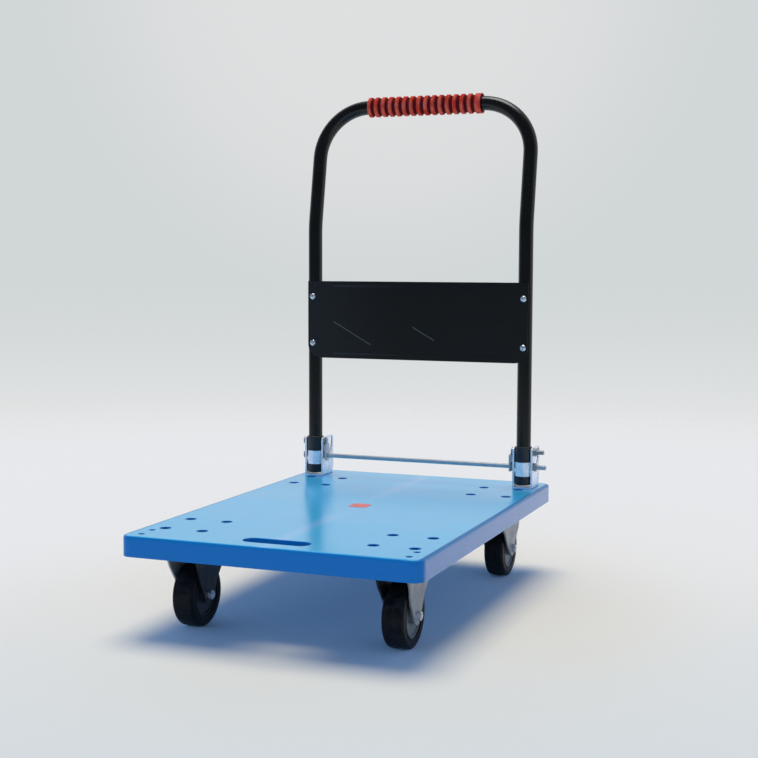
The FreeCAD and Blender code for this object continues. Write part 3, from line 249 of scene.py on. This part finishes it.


# %% [markdown]
# ## The deck's plastic
# The deck is one moulding of blue polypropylene, with the even, slightly soft gloss that a
# polished mould leaves. What makes it plastic rather than paint is small: a very fine orange-peel,
# a faint unevenness of the gloss where the melt cooled, and a pale streak painted down the middle
# of the top. The top is painted a paler, lit blue and the sides and rims a darker, shaded one:
# painted light and painted shade, since the top faces the lamp. The top is rubbed smooth by boxes
# and has a second, clear gloss: the coat. The long sides have more of it, where hands carry the
# deck.

# %% Deck finish
DECK_SHADED_BLUE = (0.004, 0.145, 0.342)
DECK_LIT_BLUE = (0.028, 0.388, 0.680)
DECK_LIT_PALE = (0.039, 0.406, 0.695)
DECK_ROUGH = (0.20, 0.26)
CLOUDS_SHOW = 0.5
DECK_SIDE = deck_high.x
RIM_STEPS = (0.0075, 0.0055)
TOP_STEPS = (0.0012, 0.0002)
FLANK_STEPS = (0.0016, 0.0004)
TOP_COAT = 0.37
FLANK_COAT = 0.70
PALE_STREAK = (0.40, 0.52, 0.80)
PALE_STREAK_HALF = 0.022
PALE_STREAK_WANDER = 0.004
PALE_STREAK_SHOWS = 0.24


def under(level, steps):
    """The two values that lie these two steps under a level."""
    return [level - step for step in steps]


plastic = Finish(
    "deck_plastic", DECK_SHADED_BLUE, roughness=0.24,
    Specular_IOR_Level=0.18, Coat_Roughness=0.17, Coat_IOR=1.6,
)
rim = abs(plastic.x).ramp(*under(DECK_SIDE, RIM_STEPS))
top = plastic.z.ramp(*under(DECK_TOP, TOP_STEPS)) * (1.0 - rim)
clouds = plastic.noise(7.0, detail=3.0).ramp(0.35, 0.70)
# painted light and shade: the top is painted a lit blue, the sides and rims a shaded one
lit_top = plastic.blend(clouds * CLOUDS_SHOW, DECK_LIT_BLUE, DECK_LIT_PALE)
shade = plastic.blend(top, DECK_SHADED_BLUE, lit_top)

# a pale streak is painted down the middle of the top
off_line = abs(plastic.x + plastic.noise(9.0) * PALE_STREAK_WANDER)
pale_streak = off_line.ramp(PALE_STREAK_HALF, 0.0) * top * plastic.noise(9.0).ramp(0.30, 0.55)
plastic.wire("Base Color", plastic.blend(pale_streak * PALE_STREAK_SHOWS, shade, PALE_STREAK))

flank = abs(plastic.x).ramp(*under(DECK_SIDE, FLANK_STEPS))
plastic.wire("Coat Weight", (top * TOP_COAT).most(flank * FLANK_COAT))
plastic.vary("Roughness", clouds, *DECK_ROUGH)
plastic.bump(plastic.noise(420.0), depth=0.00012, strength=0.35)
dress(plastic, "deck")

# %% [markdown]
# ## Powder coat
# The handle's tube is sprayed with black powder and baked. Powder melts into a skin
# with a fine, rounded grain and a soft-edged highlight. Noise of just under a millimetre
# gives the grain; its depth is a few hundredths of a millimetre, because more would
# look like stone.

# %% Tube finish
POWDER_BLACK = (0.0024, 0.0023, 0.0017)
POWDER_WORN = (0.0044, 0.0043, 0.0034)
POWDER_ROUGH = (0.18, 0.26)

powder = Finish("powder_coat", POWDER_BLACK, roughness=0.30, Specular_IOR_Level=0.38)
patches = powder.noise(14.0).ramp(0.3, 0.7)
melt = powder.noise(1100.0)
powder.wire("Base Color", powder.blend(patches, POWDER_BLACK, POWDER_WORN))
powder.vary("Roughness", melt.ramp(0.35, 0.65), *POWDER_ROUGH)
powder.bump(melt, depth=0.00010, strength=0.5)
dress(powder, "handle_tube")

# %% [markdown]
# ## The back panel
# The panel is thin sheet steel in nearly the same black. Its grain is finer than the tube's and
# its gloss is softer, so what it mirrors is blurred. Towards the left leg a haze of dust lies on
# it. The crests of its pressed beads are painted pale as painted highlights: most on the two
# slanting braces, and on the long beads only towards the left leg. The crests are the parts
# nearest to the free edge, and the braces lie halfway up.

# %% Panel finish
PANEL_BLACK = (0.0048, 0.0046, 0.0030)
PANEL_HAZED = (0.014, 0.014, 0.011)
PANEL_CREST_HIGHLIGHT = (0.060, 0.058, 0.038)
PANEL_ROUGH = 0.30
HAZE_ROUGHENS = 0.06
GRAIN_ROUGHENS = 0.05
HAZE_SHOWS = 0.6
HAZE_FROM_TO = (-0.02, -0.22)
CREST_DEEP = 0.0007
CREST_CLEAR = 0.0003
BRACE_REACH = (0.055, 0.045)
BEADS_FROM_TO = (0.02, -0.15)
BEADS_HIGHLIGHT_SHOWS = 0.30
panel_low, panel_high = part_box("back_panel")

sheet = Finish("panel_paint", PANEL_BLACK, roughness=0.34, Specular_IOR_Level=0.32)
grain = sheet.noise(900.0)
haze = sheet.x.ramp(*HAZE_FROM_TO) * HAZE_SHOWS
black = sheet.blend(haze, PANEL_BLACK, PANEL_HAZED)
crest = sheet.y.ramp(panel_low.y + CREST_DEEP, panel_low.y + CREST_CLEAR)
braces = abs(sheet.z - (panel_low.z + panel_high.z) / 2).ramp(*BRACE_REACH)
# painted highlight: the crests of the beads are painted pale
crest_highlight = crest * braces.most(sheet.x.ramp(*BEADS_FROM_TO) * BEADS_HIGHLIGHT_SHOWS)
sheet.wire("Base Color", sheet.blend(crest_highlight, black, PANEL_CREST_HIGHLIGHT))
rough = PANEL_ROUGH + haze * HAZE_ROUGHENS + grain.ramp(0.3, 0.7) * GRAIN_ROUGHENS
sheet.wire("Roughness", rough)
sheet.bump(grain, depth=0.00008, strength=0.4)
dress(sheet, "back_panel")

# %% [markdown]
# ## The grip
# The sleeve over the top bar is brick-red rubber, ribbed to keep a gloved hand from slipping. It
# is matt, so it gets a high roughness, and a fine skin of pores. The grooves are painted dark, as
# painted shade. The crowns are much brighter, with pale patches that are partly wear and partly
# painted highlight, and a little smoother; the distance from the bar's axis says which is which.

# %% Grip finish
GRIP_RED = (0.540, 0.026, 0.008)
GRIP_GROOVE_SHADE = (0.085, 0.003, 0.002)
GRIP_WEAR_AND_HIGHLIGHT = (0.720, 0.130, 0.070)
GRIP_ROUGH = (0.72, 0.54)
WEAR_AND_HIGHLIGHT_SHOWS = 0.6
CROWN_STEPS = (0.0028, 0.0004)
grip_low, grip_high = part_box("hand_grip")
GRIP_CROWN = (grip_high.z - grip_low.z) / 2
GRIP_AXIS_Y = (grip_low.y + grip_high.y) / 2
GRIP_AXIS_Z = (grip_low.z + grip_high.z) / 2


def distance(first, second):
    """How far a place is from an axis, from its two offsets."""
    return (first * first + second * second) ** 0.5


rubber = Finish("grip_rubber", GRIP_RED, roughness=0.62, Specular_IOR_Level=0.08)
radius = distance(rubber.y - GRIP_AXIS_Y, rubber.z - GRIP_AXIS_Z)
crown = radius.ramp(*under(GRIP_CROWN, CROWN_STEPS))
wear_and_highlight = crown * rubber.noise(60.0, detail=3.0).ramp(0.35, 0.65)
# painted shade in the grooves, and pale crown patches that are partly wear, partly painted
# highlight
groove_shaded = rubber.blend(crown, GRIP_GROOVE_SHADE, GRIP_RED)
rubber.wire("Base Color", rubber.blend(wear_and_highlight * WEAR_AND_HIGHLIGHT_SHOWS, groove_shaded, GRIP_WEAR_AND_HIGHLIGHT))
rubber.vary("Roughness", wear_and_highlight, *GRIP_ROUGH)
rubber.bump(rubber.noise(1600.0, detail=3.0), depth=0.00015, strength=0.6)
dress(rubber, "hand_grip")
print("grip crown radius:", round(GRIP_CROWN * 1000, 1), "mm")

# %% [markdown]
# ## Black moulded fittings
# The collars round the pivots and the plugs in the tube's feet are hard black nylon
# with a light spark-eroded texture: small pits rather than waves.

# %% Fitting finish
NYLON_BLACK = (0.0085, 0.0092, 0.0105)
NYLON_WORN = (0.014, 0.015, 0.017)
NYLON_ROUGH = (0.32, 0.46)

nylon = Finish("black_nylon", NYLON_BLACK, roughness=0.40)
spark = nylon.cells(1400.0)
scuffs = nylon.noise(40.0).ramp(0.35, 0.65)
nylon.wire("Base Color", nylon.blend(scuffs, NYLON_BLACK, NYLON_WORN))
nylon.vary("Roughness", spark.ramp(0.1, 0.7), *NYLON_ROUGH)
nylon.bump(spark, depth=0.00006, strength=0.5)
dress(nylon, *both("pivot_collar", "end_plug"))

# %% [markdown]
# ## Zinc
# Brackets, forks, rods and fasteners are steel with a thin coat of zinc. Bright zinc is a metal,
# so its colour tints what it mirrors, while a dull film on it scatters light as paint does: each
# member of the family says how far it is still metal. Its roughness is uneven, because the coat is
# cloudy where the bath dried, and clearer between. Pressed forks are duller than turned bolts, so
# one function makes the family and each member states its own gloss. The forks are painted dark as
# painted shade, except on their outer legs, which keep the zinc's colour. The rear forks get only
# part of that painted shade.

# %% Zinc finishes
CLOUD_SHADE = 0.88


def zinc(name, colour, metal, rough, clouds, grain):
    """Zinc plate: its roughness between and in the clouds, clouds per metre, grain depth."""
    plate = Finish(name, colour, roughness=rough[0], metallic=metal)
    cloud = plate.noise(clouds, detail=4.0).ramp(0.35, 0.68)
    dull = tuple(CLOUD_SHADE * part for part in colour)
    plate.shade = plate.blend(cloud, colour, dull)
    plate.wire("Base Color", plate.shade)
    plate.vary("Roughness", cloud, *rough)
    plate.bump(plate.noise(1300.0), depth=grain, strength=0.5)
    return plate


bracket_zinc = zinc(
    "bracket_zinc", (0.90, 0.86, 0.80), metal=0.35, rough=(0.26, 0.42), clouds=60.0, grain=0.00005
)
fork_zinc = zinc(
    "fork_zinc", (0.31, 0.295, 0.265), metal=0.35, rough=(0.36, 0.55), clouds=45.0, grain=0.00010
)
bolt_zinc = zinc(
    "bolt_zinc", (0.72, 0.73, 0.74), metal=0.80, rough=(0.22, 0.36), clouds=220.0, grain=0.00004
)
dull_zinc = zinc(
    "dull_zinc", (0.32, 0.31, 0.28), metal=0.60, rough=(0.34, 0.50), clouds=220.0, grain=0.00005
)
rod_zinc = zinc(
    "rod_zinc", (0.42, 0.43, 0.42), metal=0.35, rough=(0.30, 0.38), clouds=90.0, grain=0.00002
)

# %% Zinc pieces
FORK_PAINTED_SHADE = (0.016, 0.016, 0.016)
OUTER_LEG = (0.176, 0.190)
REAR_FROM_TO = (0.0, 0.1)
REAR_UNSHADED = 0.35

# painted shade: forks are dark except on their outer legs, and the rear forks less so
outside_unshaded = abs(fork_zinc.x).ramp(*OUTER_LEG).most(fork_zinc.y.ramp(*REAR_FROM_TO) * REAR_UNSHADED)
fork_zinc.wire("Base Color", fork_zinc.blend(outside_unshaded, FORK_PAINTED_SHADE, fork_zinc.shade))

dress(bracket_zinc, *both("hinge_bracket", "slot_sleeve"))
dress(fork_zinc, *each(CASTERS, "fork"), *each(SWIVELS, "top_plate", "ball_race"))
dress(bolt_zinc, "caster_bolts", "caster_nuts", "panel_screws")
dress(bolt_zinc, *each(CASTERS, "bush", "axle_bolt", "axle_nut"), *each(SWIVELS, "kingpin"))
dress(dull_zinc, "bracket_screws", "bracket_nuts", "pivot_nuts", "rod_nuts")
dress(dull_zinc, *both("pivot_bolt", "lock_spring"))
dress(rod_zinc, "release_rod", *both("rod_plate"))

# %% [markdown]
# ## The wheels
# Each wheel is a soft black tyre moulded on a grey plastic hub. Tyres pick up dust on the tread
# first, and stay cleaner on the flanks, so the tread is a shade greyer and rougher. The distance
# from each axle tells tread from flank; four wheels have four axles, so each wheel has its own
# copy of the finish. The side of each hub that faces the middle of the cart, under the deck, is
# painted dark as painted shade.

# %% Tyre finish
TYRE_BLACK = (0.0035, 0.0035, 0.0033)
TYRE_DUST = (0.016, 0.016, 0.0145)
TYRE_ROUGH = (0.42, 0.72)
DUST_SHOWS = 0.6
TREAD_STEPS = (0.004, 0.0005)


def tyre_finish(caster):
    """The finish of one tyre, measured from its own axle."""
    low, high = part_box(f"{caster}_tyre")
    centre = (low + high) / 2
    outer = (high.z - low.z) / 2
    tyre = Finish(f"{caster}_tyre_rubber", TYRE_BLACK, roughness=0.55, Specular_IOR_Level=0.15)
    reach = distance(tyre.y - centre.y, tyre.z - centre.z)
    tread = reach.ramp(*under(outer, TREAD_STEPS))
    dust = tread * tyre.noise(120.0, detail=4.0).ramp(0.40, 0.65)
    tyre.wire("Base Color", tyre.blend(dust * DUST_SHOWS, TYRE_BLACK, TYRE_DUST))
    tyre.vary("Roughness", dust, *TYRE_ROUGH)
    tyre.bump(tyre.noise(700.0, detail=3.0), depth=0.00015, strength=0.5)
    return tyre


for caster in CASTERS:
    dress(tyre_finish(caster), f"{caster}_tyre")

# %% Hub finish
HUB_GREY = (0.115, 0.112, 0.098)
HUB_PALE = (0.150, 0.147, 0.130)
HUB_PAINTED_SHADE = (0.020, 0.020, 0.018)
HUB_ROUGH = (0.36, 0.48)
HUB_OUTSIDE = (0.168, 0.175)

hub = Finish("hub_plastic", HUB_GREY, roughness=0.42, Specular_IOR_Level=0.3)
hub_mottle = hub.blend(hub.noise(35.0, detail=3.0).ramp(0.35, 0.65), HUB_GREY, HUB_PALE)
# painted shade: the side of each hub facing the middle of the cart is painted dark
hub.wire("Base Color", hub.blend(abs(hub.x).ramp(*HUB_OUTSIDE), HUB_PAINTED_SHADE, hub_mottle))
hub.vary("Roughness", hub.noise(90.0).ramp(0.3, 0.7), *HUB_ROUGH)
hub.bump(hub.cells(900.0), depth=0.00008, strength=0.4)
dress(hub, *each(CASTERS, "hub"))

# %% [markdown]
# ## The plain badge
# A small square patch of red film sits near the middle of the deck. It is left blank.
# Its corners are rounded so that they don't lift. It is thinner than a fingernail, and
# sunk into the deck by a quarter of that, so no gap shows under it.

# %% Badge
BADGE_SIDE = 0.032
BADGE_THICK = 0.0003
BADGE_CORNER = 0.006
BADGE_PLACE = (0.0, 0.008)
BADGE_RED = (0.60, 0.035, 0.030)
BADGE_WORN = (0.66, 0.085, 0.070)
BADGE_ROUGH = (0.26, 0.38)


def rounded_plate(name, side, thick, corner, steps=8):
    """A square plate with round corners in plan, its foot at Z 0."""
    inset = side / 2 - corner
    foot = []
    for quarter in range(4):
        turn = Matrix.Rotation(math.radians(90 * quarter), 3, "Z")
        for step in range(steps + 1):
            angle = math.radians(90 * step / steps)
            point = Vector((inset + corner * math.cos(angle), inset + corner * math.sin(angle), 0))
            foot.append(turn @ point)
    crown = [point + Vector((0, 0, thick)) for point in foot]
    count = len(foot)
    faces = [(0, *range(count - 1, 0, -1)), tuple(range(count, 2 * count))]
    for start in range(count):
        end = (start + 1) % count
        faces.append((start, end, end + count, start + count))
    mesh = bpy.data.meshes.new(name)
    mesh.from_pydata(foot + crown, [], faces)
    return put(name, mesh)


film = Finish("badge_film", BADGE_RED, roughness=0.30)
fade = film.noise(180.0, detail=3.0).ramp(0.35, 0.70)
film.wire("Base Color", film.blend(fade, BADGE_RED, BADGE_WORN))
film.vary("Roughness", fade, *BADGE_ROUGH)

badge = rounded_plate("deck_badge", BADGE_SIDE, BADGE_THICK, BADGE_CORNER)
badge.location = (*BADGE_PLACE, DECK_TOP - BADGE_THICK / 4)
badge.data.materials.append(film.material)
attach(badge, "deck_frame")
print("badge faces:", len(badge.data.polygons))

# %% [markdown]
# ## The lock springs
# A coil spring inside the foot of each leg pushes the release bar up, and gets shorter when the
# bar is pressed. A solid that only rides along stays long, and the bar would cut through it. So a
# copy of each coil takes its place and rides with the handle, and the share of its length that a
# full press would leave is worked out; the copy itself is not flattened.

# %% Copies of the springs
press = next(joint for joint in frame["joints"] if joint["name"] == "release_press")
BAR_TRAVEL = max(press["range_m"])


def make_coil(side):
    """A copy of one spring in place of the solid. Returns the share of its length a press leaves.
    """
    solid = f"{side}_lock_spring"
    low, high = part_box(solid)
    coil = put(f"{side}_spring_coil", cart[solid].data.copy())
    coil.data.materials.clear()
    coil.data.materials.append(dull_zinc.material)
    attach(coil, "handle")
    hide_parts(solid)
    pressed = 1 - BAR_TRAVEL / (high.z - low.z)
    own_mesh(coil)
    return pressed


for side in ("left", "right"):
    print(side, "spring, pressed, keeps", round(make_coil(side), 2), "of its length")

# %% [markdown]
# ## The studio floor
# The cart stands on pale paper. It fades into the room's pale backdrop well away from the cart, so
# there is no horizon. On our side of the set the paper is painted darker: painted shade, for the
# light falling off towards the edge of the set.

# %% Floor
FLOOR_REACH = 9.0
FLOOR_PARTS = 24
FLOOR_FADE = (3.6, 1.6)
PAPER = (0.775, 0.745, 0.695)
PAPER_NEAR_SHADED = (0.615, 0.635, 0.610)
PAPER_TURN = (-1.3, 0.5)

shape = bmesh.new()
bmesh.ops.create_grid(shape, x_segments=FLOOR_PARTS, y_segments=FLOOR_PARTS, size=FLOOR_REACH)
mesh = bpy.data.meshes.new("studio_floor")
shape.to_mesh(mesh)
shape.free()
floor = put("studio_floor", mesh)

paper = Finish("studio_paper", PAPER, roughness=0.85, Specular_IOR_Level=0.0)
depth = paper.x * sight.x + paper.y * sight.y
# painted shade: the paper is darker on our side of the set
paper.wire("Base Color", paper.blend(depth.ramp(*PAPER_TURN), PAPER_NEAR_SHADED, PAPER))
near = distance(paper.x, paper.y).ramp(*FLOOR_FADE)
clear = paper.node("BsdfTransparent", {}, {})
seen = paper.node("MixShader", {}, {0: near, 1: clear, 2: Wire(paper, paper.shader.outputs[0])})
paper.tree.links.new(seen.socket, paper.tree.nodes["Material Output"].inputs["Surface"])
floor.data.materials.append(paper.material)
print("the paper fades out by", FLOOR_FADE[0], "m from the cart")

# %% [markdown]
# ## The room
# The world round the cart plays three parts, and each kind of ray is shown its own. The
# camera sees a pale backdrop with a broad, weak glow low behind the cart. Reflections
# see that too, with a plain softbox overhead and a darker room behind the camera, so
# that black paint stays black. Everything else is lit by blue light from low in the
# room, rather more of it from the left, which fills the shadow.

# %% Room
ROOM_TOP = (0.640, 0.675, 0.685)
ROOM_FOOT = (0.800, 0.805, 0.805)
ROOM_TURN = (-0.165, -0.01)
ROOM_GLOW = (0.735, 0.740, 0.745)
GLOW_HEIGHT = math.radians(12)
GLOW_TURN = (0.970, 0.9986)
DARK_END = (0.115, 0.115, 0.105)
DARK_TURN = (0.25, -0.25)
SOFTBOX = (8.0, 8.0, 8.0)
SOFTBOX_EDGE = (0.93, 0.97)
FILL_LEFT = (0.60, 1.28, 2.76)
FILL_RIGHT = (0.52, 0.99, 2.05)
FILL_SIDES = (-0.9, 0.9)
FILL_HIGH = (0.11, 0.11, 0.11)
FILL_TURN = (0.40, 0.62)


class Room(Finish):
    """The world's shader. It has no surface of its own, only the direction looked in."""

    def __init__(self):
        world = bpy.data.worlds.new("room")
        bpy.context.scene.world = world
        world.use_nodes = True
        self.tree = world.node_tree
        self.shader = self.tree.nodes["Background"]
        self.start_from("Generated")

    def ray(self, kind):
        return self.node("LightPath", {}, {}, out=f"Is {kind} Ray")


room = Room()
level = math.cos(GLOW_HEIGHT)
glow = room.x * (math.sin(CAMERA_YAW) * level) + room.y * (math.cos(CAMERA_YAW) * level)
glow = (glow + room.z * math.sin(GLOW_HEIGHT)).ramp(*GLOW_TURN)
wall = room.blend(glow, ROOM_TOP, ROOM_GLOW)
backdrop = room.blend(room.z.ramp(*ROOM_TURN), ROOM_FOOT, wall)
mirrored = room.blend(room.y.ramp(*DARK_TURN), backdrop, DARK_END)
mirrored = room.blend(room.z.ramp(*SOFTBOX_EDGE), mirrored, SOFTBOX)
low_fill = room.blend(room.x.ramp(*FILL_SIDES), FILL_LEFT, FILL_RIGHT)
fill = room.blend(room.z.ramp(*FILL_TURN), low_fill, FILL_HIGH)
tone = room.blend(room.ray("Glossy"), fill, mirrored)
direct = room.ray("Camera").most(room.ray("Transmission"))
room.wire("Color", room.blend(direct, tone, backdrop))
print("nodes in the room:", len(room.tree.nodes))

# %% [markdown]
# ## The lamp
# One soft lamp hangs about ten degrees from straight overhead, a little behind the cart
# and to its left. It is a sun whose disc is made very wide, like a large softbox hung
# high: it lights the paper evenly, and the shadow lies nearly under the deck, drawn a
# little towards us, with soft edges. A sun shines the same from anywhere, so only its
# lean counts. The lamp is warm to make up for the blue fill. The two together are a
# little blue: a grey card on the floor comes out within a tenth of what is written in
# red and green, and a tenth to a fifth above it in blue.

# %% Lamp
LAMP_SPREAD = math.radians(38)
LAMP_LEAN = (math.radians(-9.5), math.radians(-4.5), 0)
LAMP_PLACE = (-0.1, 0.4, 2.0)
LAMP_COLOUR = (1.0, 0.889, 0.628)
LAMP_STRENGTH = 2.56

lamp = put("soft_lamp", bpy.data.lights.new("soft_lamp", "SUN"))
lamp.data.angle = LAMP_SPREAD
lamp.data.energy = LAMP_STRENGTH
lamp.data.color = LAMP_COLOUR
lamp.visible_glossy = False
lamp.location = LAMP_PLACE
lamp.rotation_euler = LAMP_LEAN
print("the lamp alone lights red on the floor to:", round(LAMP_STRENGTH / math.pi, 2))
